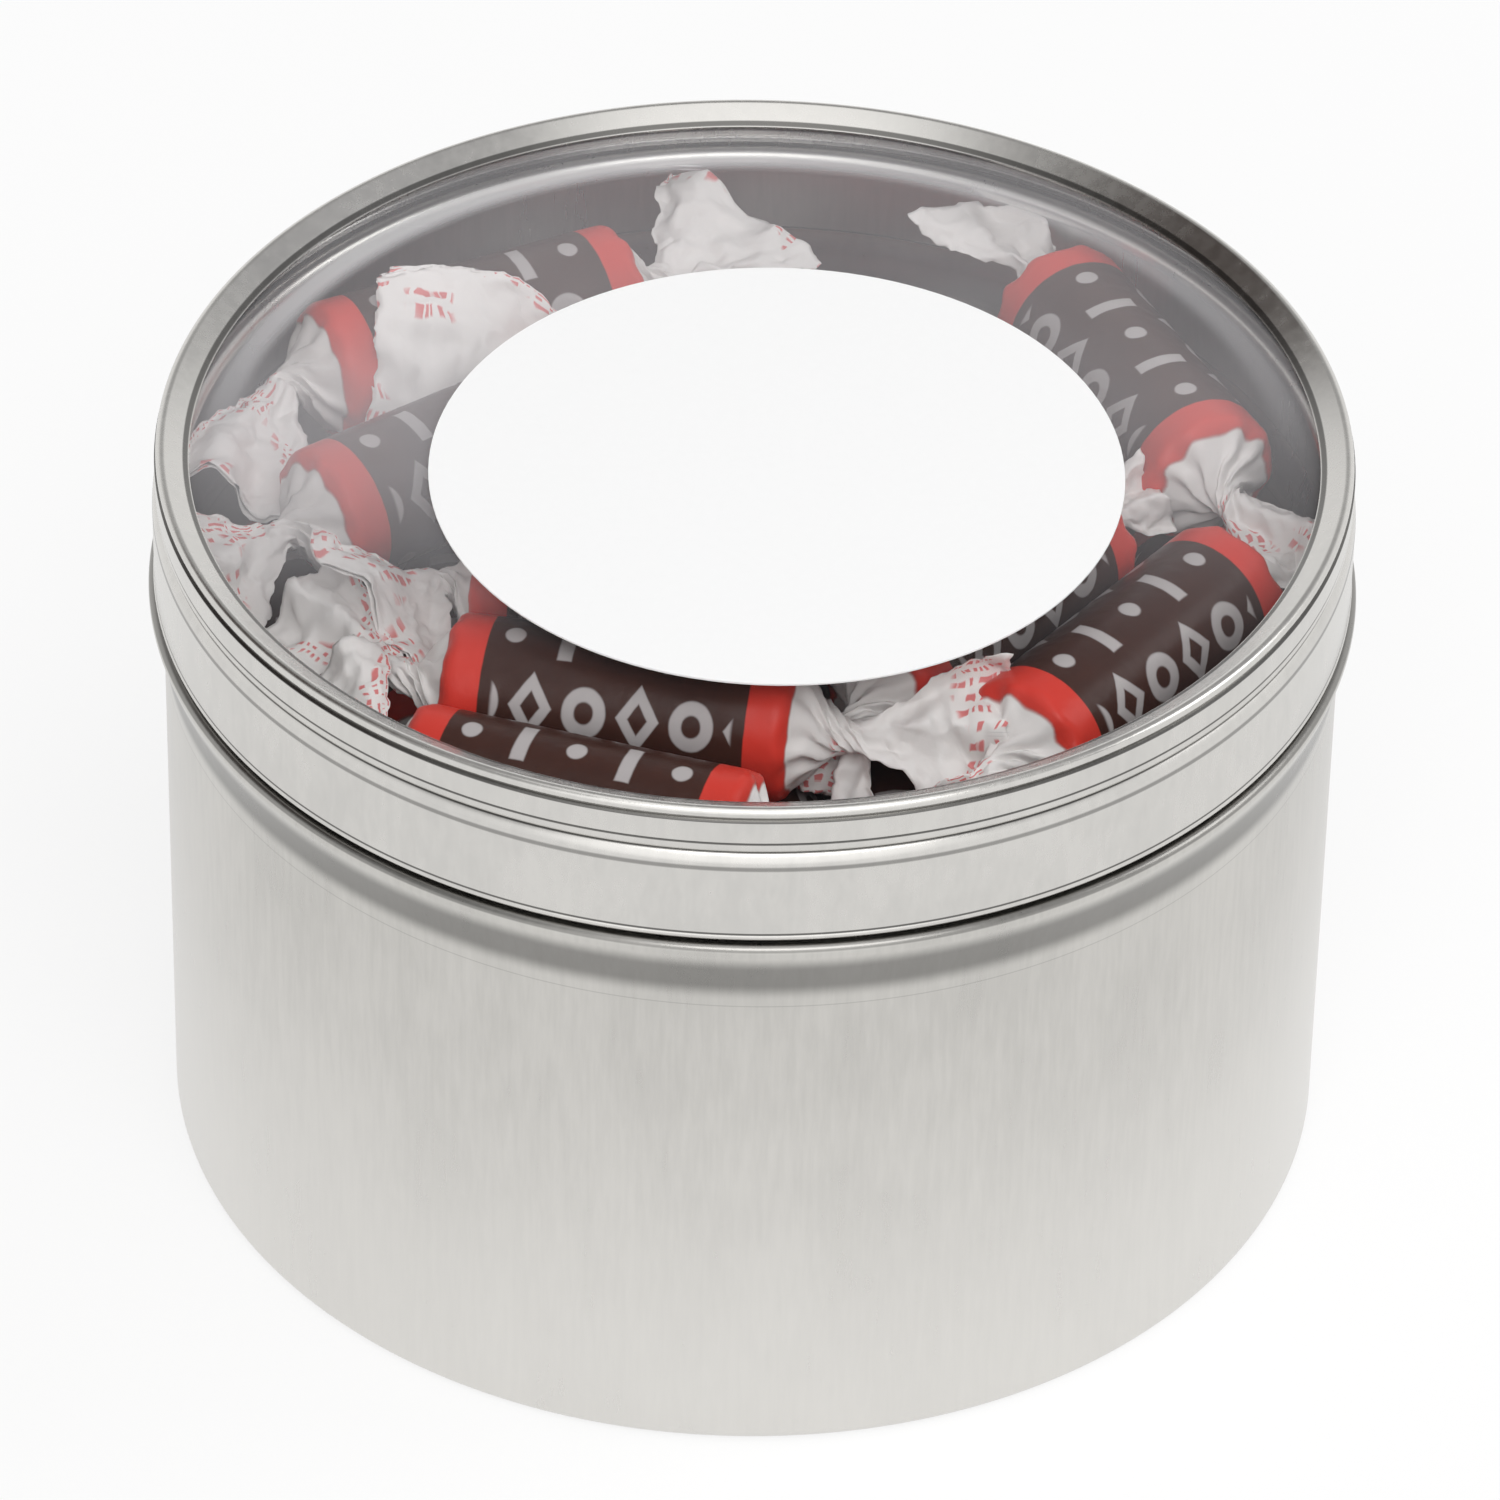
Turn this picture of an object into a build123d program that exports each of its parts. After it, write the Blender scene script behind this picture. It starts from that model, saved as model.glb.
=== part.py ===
from build123d import *
import os
from math import cos, sin, radians, sqrt, floor

os.makedirs("parts", exist_ok=True)

# Round tinplate tin with a lift-off lid that holds a clear window, filled with
# wrapped chewy sweets. Millimetres, +Z up, origin at the centre of the base.

# Driving sizes of the tin body
wallOuterRadius = 51.15
sheetThickness = 0.3
baseCornerRadius = 1.0
basePanelMargin = 4.15
basePanelRise = 0.4
basePanelBlend = 0.8
beadBelowCurl = 9.0
beadSwell = 1.25
beadCrestRadius = 1.4
blendAngle = 20.5
beadTopRadius = 0.7
neckFillet = 0.3
curlBelowSweetTops = 1.4
curlRadius = 0.9
curlEndAngle = 255.0

# Driving sizes of the lid ring
skirtClearance = 0.43
hemRadius = 0.33
hemGap = 0.44
hemOffset = 0.05
grooveAboveCurl = 0.14
shoulderRise = 1.74
grooveDepth = 0.58
shoulderBulge = 0.22
ridgeRise = 0.56
ridgeProud = 0.28
ridgeSeatDrop = 0.2
creaseRise = 0.53
creaseProud = 0.22
collarProud = 0.32
collarStep = 0.12
collarRise = 2.29
rimCreaseRise = 0.12
rimCreaseDepth = 0.24
rimRidgeRadius = 0.55
rimRidgeInset = 0.67
rimRidgeRise = 0.56
flangeAngle = 30.0
flangeRun = 2.035

# Driving sizes of the window and its label
windowBelowCollar = 0.52
windowThickness = 0.4
windowSideClearance = 0.05
windowSeatGap = 0.5
windowCornerRadius = 0.6
labelRadius = 29.9
labelThickness = 0.15
labelOffsetX = 1.9
labelOffsetY = -2.7

# Driving sizes of the wrapped sweets. A sweet's own sizes are shares: its radius of the
# inner radius of the wall, and all the others of the sweet's radius
sweetRadiusShare = 0.12488
sweetLengthShare = 4.567
chewEdgeShare = 0.189
twistLengthShare = 0.4095
neckRadiusShare = 0.2047
knotRadiusShare = 0.252
tailRootShare = 0.1732
tailLengthShare = 0.8661
tailHalfWidthShare = 0.567
tailHalfThicknessShare = 0.1575
paperThickness = 0.3
chewClearance = 0.1
sweetGap = 0.3
layerCount = 4

# Sizes that follow from the driving sizes
wallInnerRadius = wallOuterRadius - sheetThickness
sweetRadius = wallInnerRadius * sweetRadiusShare
sweetLength = sweetRadius * sweetLengthShare
chewEdgeRadius = sweetRadius * chewEdgeShare
twistLength = sweetRadius * twistLengthShare
neckRadius = sweetRadius * neckRadiusShare
knotRadius = sweetRadius * knotRadiusShare
tailRootRadius = sweetRadius * tailRootShare
tailLength = sweetRadius * tailLengthShare
tailHalfWidth = sweetRadius * tailHalfWidthShare
tailHalfThickness = sweetRadius * tailHalfThicknessShare
chewRadius = sweetRadius - paperThickness - chewClearance
chewLength = sweetLength - 2 * (paperThickness + chewClearance)
overallLength = sweetLength + 2 * (twistLength + tailLength)
rowPitch = 2 * sweetRadius + sweetGap
baseInnerHeight = basePanelRise + sheetThickness
firstAxisHeight = baseInnerHeight + sweetGap + sweetRadius
topAxisHeight = firstAxisHeight + layerCount * rowPitch
sweetTopHeight = topAxisHeight + sweetRadius

# The heights of the tin's neck and of the lid follow from the filling
basePanelRadius = wallOuterRadius - basePanelMargin
curlCentreHeight = sweetTopHeight - curlBelowSweetTops
beadCrestHeight = curlCentreHeight - beadBelowCurl
grooveHeight = curlCentreHeight + curlRadius + grooveAboveCurl
skirtTopHeight = grooveHeight - shoulderRise
ridgeHeight = grooveHeight + ridgeRise
creaseHeight = ridgeHeight + creaseRise
collarTopHeight = creaseHeight + collarRise
windowTopHeight = collarTopHeight - windowBelowCollar

# Places of the sweets under the window: across and along the tin as shares of the
# inner radius of its wall, then the direction of the sweet in degrees
topPlaceShares = {
    "sweet_01": (-0.212, -0.484, -10),
    "sweet_02": (0.629, -0.352, 52),
    "sweet_03": (0.655, 0.435, 117),
    "sweet_04": (-0.496, 0.570, 27),
    "sweet_05": (-0.511, 0.189, 37),
    "sweet_06": (0.387, -0.218, 54),
    "sweet_07": (-0.281, -0.762, -17),
    "sweet_08": (-0.173, -0.208, -8),
    "sweet_09": (0.079, 0.285, -35),
}

# How each twisted tail leaves its knot: turn and rise in degrees at the first end,
# then turn and rise at the second end
topTailTurns = {
    "sweet_01": (0, 0, -20, 25),
    "sweet_02": (0, 0, 10, -50),
    "sweet_03": (0, 25, 30, 0),
    "sweet_04": (45, 0, 0, 0),
    "sweet_05": (0, 0, 0, -80),
    "sweet_06": (0, -65, -70, 0),
    "sweet_07": (-35, 0, 0, 0),
    "sweet_08": (0, 0, 0, -75),
    "sweet_09": (0, 70, 0, -40),
}


def savePiece(piece, name):
    piece.part.label = name
    export_step(piece.part, "parts/" + name + ".step")


# Tin body: one drawn sheet with a flat base, a straight wall that swells into a
# round bead below the lid, and a neck whose top edge is curled inward
blendRadius = beadSwell / (1 - cos(radians(blendAngle))) - beadCrestRadius
swellRise = (blendRadius + beadCrestRadius) * sin(radians(blendAngle))
swellStart = beadCrestHeight - swellRise
crestRadius = wallOuterRadius + beadSwell
blendCentreR = wallOuterRadius + blendRadius
crestCentreR = crestRadius - beadCrestRadius
beadTopCentreR = crestRadius - beadTopRadius
beadTopHeight = beadCrestHeight + beadTopRadius
neckFilletCentreR = wallOuterRadius + neckFillet
neckFilletHeight = beadTopHeight + neckFillet
curlCentreR = wallOuterRadius - curlRadius


def onArc(centreR, centreZ, radius, angle):
    return (centreR + radius * cos(radians(angle)), centreZ + radius * sin(radians(angle)))


def sheetSide(inset):
    # One side of the sheet from the base corner to the curl, inset from the outside
    side = []
    blendSide = blendRadius + inset
    crestSide = beadCrestRadius - inset
    topSide = beadTopRadius - inset
    neckSide = neckFillet + inset
    cornerSide = baseCornerRadius - inset
    cornerR = wallOuterRadius - baseCornerRadius
    side.append(ThreePointArc(onArc(cornerR, baseCornerRadius, cornerSide, -90),
                              onArc(cornerR, baseCornerRadius, cornerSide, -45),
                              onArc(cornerR, baseCornerRadius, cornerSide, 0)))
    side.append(Line(side[-1] @ 1, onArc(blendCentreR, swellStart, blendSide, 180)))
    side.append(ThreePointArc(side[-1] @ 1,
                              onArc(blendCentreR, swellStart, blendSide, 180 - blendAngle / 2),
                              onArc(blendCentreR, swellStart, blendSide, 180 - blendAngle)))
    side.append(ThreePointArc(side[-1] @ 1,
                              onArc(crestCentreR, beadCrestHeight, crestSide, -blendAngle / 2),
                              onArc(crestCentreR, beadCrestHeight, crestSide, 0)))
    side.append(ThreePointArc(side[-1] @ 1,
                              onArc(beadTopCentreR, beadCrestHeight, topSide, 45),
                              onArc(beadTopCentreR, beadCrestHeight, topSide, 90)))
    side.append(Line(side[-1] @ 1, onArc(neckFilletCentreR, neckFilletHeight, neckSide, -90)))
    side.append(ThreePointArc(side[-1] @ 1,
                              onArc(neckFilletCentreR, neckFilletHeight, neckSide, -135),
                              onArc(neckFilletCentreR, neckFilletHeight, neckSide, -180)))
    side.append(Line(side[-1] @ 1, (curlCentreR + curlRadius - inset, curlCentreHeight)))
    side.append(ThreePointArc(side[-1] @ 1,
                              onArc(curlCentreR, curlCentreHeight, curlRadius - inset, curlEndAngle / 2),
                              onArc(curlCentreR, curlCentreHeight, curlRadius - inset, curlEndAngle)))
    return side


with BuildPart() as tinBody:
    with BuildSketch(Plane.XZ):
        with BuildLine():
            outside = sheetSide(0)
            inside = sheetSide(sheetThickness)
            Line(outside[-1] @ 1, inside[-1] @ 1)
            panelFoot = (basePanelRadius, 0)
            panelEdge = (basePanelRadius - basePanelBlend, basePanelRise)
            Line(outside[0] @ 0, panelFoot)
            Line(panelFoot, panelEdge)
            Line(panelEdge, (0, basePanelRise))
            Line((0, basePanelRise), (0, baseInnerHeight))
            innerEdge = (basePanelRadius - basePanelBlend, baseInnerHeight)
            innerFoot = (basePanelRadius, sheetThickness)
            Line((0, baseInnerHeight), innerEdge)
            Line(innerEdge, innerFoot)
            Line(innerFoot, inside[0] @ 0)
        make_face()
    revolve(axis=Axis.Z)
savePiece(tinBody, "tin_body")

# Lid ring: hemmed skirt, rounded shoulder, pressed groove, small ridge, collar and
# a rim that folds inward over the edge of the window
skirtInner = wallOuterRadius + skirtClearance
skirtOuter = skirtInner + sheetThickness
hemCentreHeight = beadTopHeight + hemGap + hemRadius
hemCentreR = skirtInner + hemOffset
grooveR = skirtOuter - grooveDepth
creaseR = grooveR + creaseProud
collarOuter = grooveR + collarProud
collarInner = collarOuter - sheetThickness
rimCentreR = collarOuter - rimRidgeInset
rimCentreZ = collarTopHeight + rimRidgeRise
rimInnerRadius = rimRidgeRadius - sheetThickness
flangeStart = onArc(rimCentreR, rimCentreZ, rimRidgeRadius, 90 + flangeAngle)
flangeDrop = flangeRun * sin(radians(flangeAngle)) / cos(radians(flangeAngle))
flangeTip = (flangeStart[0] - flangeRun, flangeStart[1] - flangeDrop)
flangeUnderStart = onArc(rimCentreR, rimCentreZ, rimInnerRadius, 90 + flangeAngle)
flangeUnderTip = (flangeTip[0] + sheetThickness * sin(radians(flangeAngle)),
                  flangeTip[1] - sheetThickness * cos(radians(flangeAngle)))
shoulderMid = ((skirtOuter + grooveR) / 2 + shoulderBulge, (skirtTopHeight + grooveHeight) / 2)

with BuildPart() as lidRing:
    with BuildSketch(Plane.XZ):
        with BuildLine():
            skirt = Line((skirtOuter, hemCentreHeight), (skirtOuter, skirtTopHeight))
            shoulder = ThreePointArc(skirt @ 1, shoulderMid, (grooveR, grooveHeight))
            ridge = ThreePointArc(shoulder @ 1, (grooveR + ridgeProud, ridgeHeight), (creaseR, creaseHeight))
            step = Line(ridge @ 1, (collarOuter, creaseHeight + collarStep))
            collar = Line(step @ 1, (collarOuter, collarTopHeight))
            rimCrease = Line(collar @ 1, (collarOuter - rimCreaseDepth, collarTopHeight + rimCreaseRise))
            rimFoot = Line(rimCrease @ 1, onArc(rimCentreR, rimCentreZ, rimRidgeRadius, -25))
            rimRidge = ThreePointArc(rimFoot @ 1,
                                     onArc(rimCentreR, rimCentreZ, rimRidgeRadius, 50),
                                     flangeStart)
            flange = Line(rimRidge @ 1, flangeTip)
            cutEdge = Line(flange @ 1, flangeUnderTip)
            flangeUnder = Line(cutEdge @ 1, flangeUnderStart)
            rimUnder = ThreePointArc(flangeUnder @ 1,
                                     onArc(rimCentreR, rimCentreZ, rimInnerRadius, 50),
                                     onArc(rimCentreR, rimCentreZ, rimInnerRadius, -25))
            rimIn = Line(rimUnder @ 1, (collarInner, collarTopHeight + rimCreaseRise / 2))
            collarIn = Line(rimIn @ 1, (collarInner, ridgeHeight - ridgeSeatDrop))
            grooveIn = Line(collarIn @ 1, (grooveR - sheetThickness, grooveHeight))
            shoulderIn = Line(grooveIn @ 1, (skirtInner, skirtTopHeight))
            skirtIn = Line(shoulderIn @ 1, (skirtInner, hemCentreHeight))
            Line(skirtIn @ 1, skirt @ 0)
        make_face()
        with Locations((hemCentreR, hemCentreHeight)):
            Circle(hemRadius)
    revolve(axis=Axis.Z)
savePiece(lidRing, "lid_ring")

# Window: a clear flat disc with a turned-down edge that sits inside the collar
windowRadius = collarInner - windowSideClearance
windowSeatHeight = grooveHeight + windowSeatGap
with BuildPart() as windowDisc:
    with BuildSketch(Plane.XY.offset(windowSeatHeight)):
        Circle(windowRadius)
    extrude(amount=windowTopHeight - windowSeatHeight)
    fillet(windowDisc.edges().group_by(Axis.Z)[-1], radius=windowCornerRadius)
    with BuildSketch(Plane.XY.offset(windowSeatHeight)):
        Circle(windowRadius - windowThickness)
    extrude(amount=windowTopHeight - windowThickness - windowSeatHeight, mode=Mode.SUBTRACT)
savePiece(windowDisc, "window_disc")

# Round paper label stuck on the window
with BuildPart() as lidLabel:
    with BuildSketch(Plane.XY.offset(windowTopHeight)):
        with Locations((labelOffsetX, labelOffsetY)):
            Circle(labelRadius)
    extrude(amount=labelThickness)
savePiece(lidLabel, "lid_label")


# One sweet: a rolled chew inside a waxed paper wrapper that is twisted shut at
# both ends, with a flattened tail beyond each knot
def makeChew(sweetPlane):
    halfLength = chewLength / 2
    with BuildPart() as chew:
        with BuildSketch(sweetPlane):
            with BuildLine():
                base = Line((-halfLength, 0), (halfLength, 0))
                endB = Line(base @ 1, (halfLength, chewRadius - chewEdgeRadius))
                edgeB = RadiusArc(endB @ 1, (halfLength - chewEdgeRadius, chewRadius), -chewEdgeRadius)
                top = Line(edgeB @ 1, (chewEdgeRadius - halfLength, chewRadius))
                edgeA = RadiusArc(top @ 1, (-halfLength, chewRadius - chewEdgeRadius), -chewEdgeRadius)
                Line(edgeA @ 1, base @ 0)
            make_face()
        revolve(axis=Axis(sweetPlane.origin, sweetPlane.x_dir))
    return chew


def makeWrapper(sweetPlane, azimuth, turns):
    halfLength = sweetLength / 2
    knotX = halfLength + twistLength
    ballX = knotX + knotRadius
    waistX = knotX - sqrt(knotRadius ** 2 - neckRadius ** 2)
    edge = chewEdgeRadius + paperThickness
    cavityHalf = chewLength / 2 + chewClearance
    cavityRadius = chewRadius + chewClearance
    with BuildPart() as wrapper:
        with BuildSketch(sweetPlane):
            with BuildLine():
                ballB = ThreePointArc((ballX, 0), (knotX, knotRadius), (waistX, neckRadius))
                twistB = Line(ballB @ 1, (halfLength, sweetRadius - edge))
                edgeB = RadiusArc(twistB @ 1, (halfLength - edge, sweetRadius), -edge)
                top = Line(edgeB @ 1, (edge - halfLength, sweetRadius))
                edgeA = RadiusArc(top @ 1, (-halfLength, sweetRadius - edge), -edge)
                twistA = Line(edgeA @ 1, (-waistX, neckRadius))
                ballA = ThreePointArc(twistA @ 1, (-knotX, knotRadius), (-ballX, 0))
                endA = Line(ballA @ 1, (-cavityHalf, 0))
                wallA = Line(endA @ 1, (-cavityHalf, cavityRadius - chewEdgeRadius))
                roundA = RadiusArc(wallA @ 1, (chewEdgeRadius - cavityHalf, cavityRadius), chewEdgeRadius)
                under = Line(roundA @ 1, (cavityHalf - chewEdgeRadius, cavityRadius))
                roundB = RadiusArc(under @ 1, (cavityHalf, cavityRadius - chewEdgeRadius), chewEdgeRadius)
                wallB = Line(roundB @ 1, (cavityHalf, 0))
                Line(wallB @ 1, ballB @ 0)
            make_face()
        revolve(axis=Axis(sweetPlane.origin, sweetPlane.x_dir))
        for side, turn, rise in ((-1, turns[0], turns[1]), (1, turns[2], turns[3])):
            knot = sweetPlane.origin + sweetPlane.x_dir * (side * knotX)
            heading = radians(azimuth + turn + (180 if side < 0 else 0))
            tilt = radians(rise)
            along = Vector(cos(tilt) * cos(heading), cos(tilt) * sin(heading), sin(tilt))
            across = Vector(-sin(heading), cos(heading), 0)
            with BuildSketch(Plane(origin=knot, x_dir=across, z_dir=along)):
                Circle(tailRootRadius)
            with BuildSketch(Plane(origin=knot + along * tailLength, x_dir=across, z_dir=along)):
                Ellipse(tailHalfWidth, tailHalfThickness)
            loft(ruled=True)
    return wrapper


# The sweets under the window, each placed by itself
for name, (acrossShare, alongShare, azimuth) in topPlaceShares.items():
    place = (acrossShare * wallInnerRadius, alongShare * wallInnerRadius, topAxisHeight)
    direction = (cos(radians(azimuth)), sin(radians(azimuth)), 0)
    sweetPlane = Plane(origin=place, x_dir=direction, z_dir=(0, 0, 1))
    savePiece(makeWrapper(sweetPlane, azimuth, topTailTurns[name]), name + "_wrapper")
    savePiece(makeChew(sweetPlane), name + "_chew")

# The layers below, in rows side by side, with every second layer turned a quarter
straightWrapper = makeWrapper(Plane.XY, 0, (0, 0, 0, 0))
straightChew = makeChew(Plane.XY)
rowsBeside = floor((wallInnerRadius - sweetRadius) / rowPitch)
for layer in range(layerCount):
    layerHeight = firstAxisHeight + layer * rowPitch
    quarterTurn = 90 * (layer % 2)
    places = []
    for row in range(-rowsBeside, rowsBeside + 1):
        rowY = row * rowPitch
        chord = 2 * sqrt(wallInnerRadius ** 2 - rowY ** 2)
        count = floor(chord / (overallLength + sweetGap))
        for seat in range(count):
            seatX = (seat - (count - 1) / 2) * (overallLength + sweetGap)
            places.append(Location((seatX, rowY, 0)))
    layerPlace = Location((0, 0, layerHeight), (0, 0, quarterTurn))
    seats = [layerPlace * place for place in places]
    layerName = "layer_" + str(layer + 1)
    with BuildPart() as layerWrappers:
        with Locations(*seats):
            add(straightWrapper.part)
    savePiece(layerWrappers, layerName + "_wrappers")
    with BuildPart() as layerChews:
        with Locations(*seats):
            add(straightChew.part)
    savePiece(layerChews, layerName + "_chews")

print("sweets under the window:", len(topPlaceShares), "overall sweet length:", round(overallLength, 2))
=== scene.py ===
import bpy
from math import sin, cos, pi, radians, sqrt, atan2, exp
from mathutils import Vector, Matrix, noise


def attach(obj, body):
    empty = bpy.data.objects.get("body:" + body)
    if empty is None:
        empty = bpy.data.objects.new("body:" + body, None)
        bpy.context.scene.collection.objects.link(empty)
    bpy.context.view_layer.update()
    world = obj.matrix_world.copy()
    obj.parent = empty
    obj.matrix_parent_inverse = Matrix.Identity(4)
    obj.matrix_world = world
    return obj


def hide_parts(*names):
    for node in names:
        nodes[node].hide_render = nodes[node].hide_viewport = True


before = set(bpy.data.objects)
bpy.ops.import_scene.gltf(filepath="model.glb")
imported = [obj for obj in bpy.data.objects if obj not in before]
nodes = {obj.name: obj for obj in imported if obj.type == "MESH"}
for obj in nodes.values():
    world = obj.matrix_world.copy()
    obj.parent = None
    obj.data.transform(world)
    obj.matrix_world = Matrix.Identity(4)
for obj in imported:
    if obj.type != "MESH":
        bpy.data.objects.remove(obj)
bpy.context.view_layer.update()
mm = 0.001
noise.seed_set(1)  # the papers crumple the same way each run
print("frame loaded")


# camera, worked out from the photograph's perspective
cameraView = {"place": (0.0, -0.66191, 0.55889), "yawDeg": 0.006, "pitchDeg": 38.332, "rollDeg": 1.1195,
              "lens": 229.742, "sensorWidth": 36, "clipEnd": 20}


def placeCamera(view):
    yaw, pitch, roll = radians(view["yawDeg"]), radians(view["pitchDeg"]), radians(view["rollDeg"])
    ahead = Vector((sin(yaw) * cos(pitch), cos(yaw) * cos(pitch), -sin(pitch)))
    right = ahead.cross(Vector((0, 0, 1))).normalized()
    up = right.cross(ahead)
    rightRolled = right * cos(roll) + up * sin(roll)
    upRolled = up * cos(roll) - right * sin(roll)
    turned = Matrix((rightRolled, upRolled, -ahead)).transposed().to_4x4()
    bpy.ops.object.camera_add(location=view["place"])
    camera = bpy.context.object
    camera.name = "photo_camera"
    camera.matrix_world = Matrix.Translation(view["place"]) @ turned
    camera.data.lens = view["lens"]
    camera.data.sensor_width = view["sensorWidth"]
    camera.data.clip_end = view["clipEnd"]
    bpy.context.scene.camera = camera


placeCamera(cameraView)
print("camera placed")


# helpers for node materials: a value is a number, a colour or another node's output
def newMaterial(name):
    mat = bpy.data.materials.new(name)
    mat.use_nodes = True
    tree = mat.node_tree
    return mat, tree, tree.nodes["Principled BSDF"]


def addNode(tree, kind, **settings):
    node = tree.nodes.new(kind)
    for key, value in settings.items():
        setattr(node, key, value)
    return node


def setInputs(node, values):
    for key, value in values.items():
        node.inputs[key].default_value = value


def feed(tree, socket, value):
    if isinstance(value, (int, float)):
        socket.default_value = value
    elif isinstance(value, tuple):
        socket.default_value = (*value, 1)
    else:
        tree.links.new(value, socket)


def mathNode(tree, operation, *values):
    node = addNode(tree, "ShaderNodeMath", operation=operation)
    for socket, value in zip(node.inputs, values):
        feed(tree, socket, value)
    return node.outputs[0]


def plus(tree, first, second):
    return mathNode(tree, "ADD", first, second)


def minus(tree, first, second):
    return mathNode(tree, "SUBTRACT", first, second)


def times(tree, first, second):
    return mathNode(tree, "MULTIPLY", first, second)


def oneMinus(tree, value):
    return minus(tree, 1, value)


def mapRange(tree, value, fromRange, toRange, interpolation="LINEAR"):
    node = addNode(tree, "ShaderNodeMapRange", interpolation_type=interpolation)
    tree.links.new(value, node.inputs["Value"])
    setInputs(node, dict(zip(("From Min", "From Max", "To Min", "To Max"), (*fromRange, *toRange))))
    return node.outputs["Result"]


def rampMask(tree, value, low, high):
    # zero at low and one at high, whichever of the two is larger
    return mapRange(tree, value, (low, high), (0, 1), "SMOOTHSTEP")


def mixColour(tree, factor, first, second):
    node = addNode(tree, "ShaderNodeMix", data_type="RGBA")
    for number, value in ((0, factor), (6, first), (7, second)):  # inputs 6 and 7 are the colours
        feed(tree, node.inputs[number], value)
    return node.outputs[2]


def noiseTexture(tree, vector, scale, detail=3.0, rough=0.5):
    node = addNode(tree, "ShaderNodeTexNoise")
    tree.links.new(vector, node.inputs["Vector"])
    setInputs(node, {"Scale": scale, "Detail": detail, "Roughness": rough})
    return node.outputs["Fac"]


def scaledObject(tree, scale=(1, 1, 1)):
    where = addNode(tree, "ShaderNodeTexCoord")
    mapping = addNode(tree, "ShaderNodeMapping")
    mapping.inputs["Scale"].default_value = scale
    tree.links.new(where.outputs["Object"], mapping.inputs["Vector"])
    return mapping.outputs["Vector"]


def splitVector(tree, vector):
    split = addNode(tree, "ShaderNodeSeparateXYZ")
    tree.links.new(vector, split.inputs[0])
    return split.outputs


def joinVector(tree, x, y):
    joined = addNode(tree, "ShaderNodeCombineXYZ")
    feed(tree, joined.inputs[0], x)
    feed(tree, joined.inputs[1], y)
    return joined.outputs[0]


def addBump(tree, shader, height, strength, distance):
    bump = addNode(tree, "ShaderNodeBump")
    setInputs(bump, {"Strength": strength, "Distance": distance})
    tree.links.new(height, bump.inputs["Height"])
    tree.links.new(bump.outputs["Normal"], shader.inputs["Normal"])


def mixSurface(tree, share, under, over):
    blend = addNode(tree, "ShaderNodeMixShader")
    for socket, value in zip(blend.inputs, (share, under, over)):
        tree.links.new(value, socket)
    tree.links.new(blend.outputs[0], tree.nodes["Material Output"].inputs["Surface"])


# tinplate: satin rolled sheet with a faint upright grain and soft mottling, painted shade in bands at its
# creases and bead, and painted light towards its foot.
# Each band of painted shade is its middle height, half width and soft edge in mm, and its strength
tinLook = {"colour": (0.625, 0.61, 0.58), "shade": (0.535, 0.523, 0.497), "toneRange": (0.3, 0.7),
           "rough": (0.24, 0.36), "roughRange": (0.25, 0.75), "detail": 4.0, "detailRough": 0.6,
           "grainScale": (1500, 1500, 160), "grainShare": 0.45, "grainStrength": 0.35, "grainDepth": 0.000012,
           "mottleScale": 90, "mottleStretch": (1, 1, 0.6), "mottleShare": 0.55,
           # painted light: the foot colour, its share and its heights paint the body paler towards its foot
           "footLightColour": (0.80, 0.785, 0.755), "footLightShare": 0.6, "footLightHeights": (0.050, 0.004),
           # painted shade: the crease colour darkens the bands of painted shade under the bead, on its top and
           # in a thin crease above the wall
           "crease": (0.10, 0.097, 0.092),
           "paintedShadeBands": ((52.2, 0.9, 1.9, 0.66), (48.8, 0.03, 0.05, 0.22), (55.86, 0.25, 0.15, 0.62))}
# the lid is a little brighter and smoother, and has no painted light towards its foot
lidLook = dict(tinLook, colour=(0.68, 0.666, 0.638), shade=(0.60, 0.588, 0.565), footLightShare=0,
               rough=(0.20, 0.32), grainScale=(900, 900, 300),
               # painted shade: the lid's bands darken its groove, creases, rim crease, hem and a line below the
               # shoulder
               paintedShadeBands=((64.02, 0.1, 0.2, 0.6), (65.43, 0.12, 0.10, 1.0), (66.45, 0.10, 0.08, 0.92),
                      (68.76, 0.09, 0.08, 0.85), (57.12, 0.06, 0.08, 0.9)))


def heightBand(tree, height, middle, half, soft):
    rise = rampMask(tree, height, (middle - half - soft) * mm, (middle - half) * mm)
    fall = rampMask(tree, height, (middle + half) * mm, (middle + half + soft) * mm)
    return minus(tree, rise, fall)


def tinMaterial(name, look):
    mat, tree, shader = newMaterial(name)
    shader.inputs["Metallic"].default_value = 1.0
    fineness = look["detail"], look["detailRough"]
    grain = noiseTexture(tree, scaledObject(tree, look["grainScale"]), 1.0, *fineness)
    mottle = noiseTexture(tree, scaledObject(tree, look["mottleStretch"]), look["mottleScale"], *fineness)
    tone = plus(tree, times(tree, grain, look["grainShare"]), times(tree, mottle, look["mottleShare"]))
    colour = mixColour(tree, rampMask(tree, tone, *look["toneRange"]), look["shade"], look["colour"])
    height = splitVector(tree, scaledObject(tree))[2]
    # painted light: the body is painted paler towards its foot
    if look["footLightShare"] > 0:
        paintedFootLight = rampMask(tree, height, *look["footLightHeights"])
        colour = mixColour(tree, times(tree, paintedFootLight, look["footLightShare"]), colour, look["footLightColour"])
    # painted shade: each band darkens the colour towards the crease colour
    for middle, half, soft, strength in look["paintedShadeBands"]:
        paintedShade = times(tree, heightBand(tree, height, middle, half, soft), strength)
        colour = mixColour(tree, paintedShade, colour, look["crease"])
    tree.links.new(colour, shader.inputs["Base Color"])
    tree.links.new(mapRange(tree, tone, look["roughRange"], look["rough"]), shader.inputs["Roughness"])
    addBump(tree, shader, grain, look["grainStrength"], look["grainDepth"])
    return mat


bodyTin = tinMaterial("body_tinplate", tinLook)
lidTin = tinMaterial("lid_tinplate", lidLook)
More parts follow.
